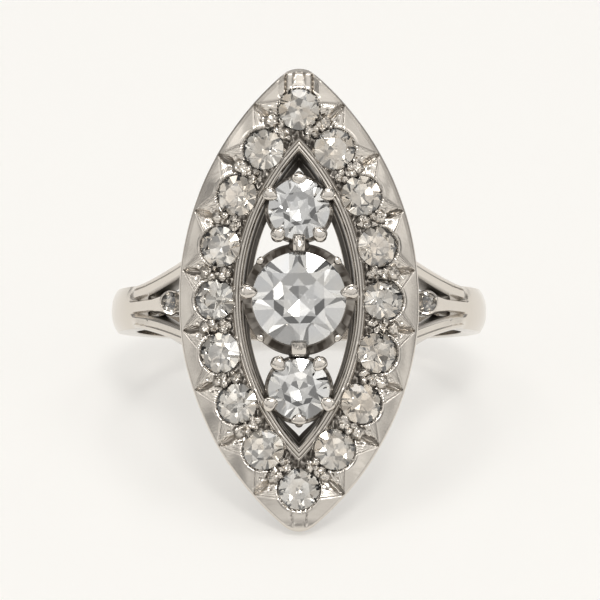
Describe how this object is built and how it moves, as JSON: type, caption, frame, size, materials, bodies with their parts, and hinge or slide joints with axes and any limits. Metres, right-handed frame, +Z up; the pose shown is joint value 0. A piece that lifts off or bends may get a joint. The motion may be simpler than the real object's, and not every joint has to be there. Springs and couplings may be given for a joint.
{
  "type": "diamond ring",
  "caption": "Finger ring with a domed, pointed oval head: round stones grain set around its border and claw set in a row across its pierced middle, on a band with forked shoulders.",
  "frame": {"origin": "on the surface that the ring rests on, under the middle of its bounding box", "axes": "+Z up from that surface, +Y from the head's front towards the back of the band, +X across the head to its right as seen from the front; the ring lies on its side, so the finger's axis lies in the YZ plane and rises towards +Y at 62.9 degrees"},
  "size_m": [0.0196, 0.0252, 0.0211],
  "materials": {
    "metal": "polished",
    "diamond": "polished"
  },
  "bodies": {
    "root": {"mount": "metal", "border_stone_1": "diamond", "border_stone_2": "diamond", "border_stone_3": "diamond", "border_stone_4": "diamond", "border_stone_5": "diamond", "border_stone_6": "diamond", "border_stone_7": "diamond", "border_stone_8": "diamond", "border_stone_9": "diamond", "border_stone_10": "diamond", "border_stone_11": "diamond", "border_stone_12": "diamond", "border_stone_13": "diamond", "border_stone_14": "diamond", "border_stone_15": "diamond", "border_stone_16": "diamond", "middle_stone": "diamond", "upper_stone": "diamond", "lower_stone": "diamond", "shoulder_stone_left": "diamond", "shoulder_stone_right": "diamond"}
  },
  "joints": []
}
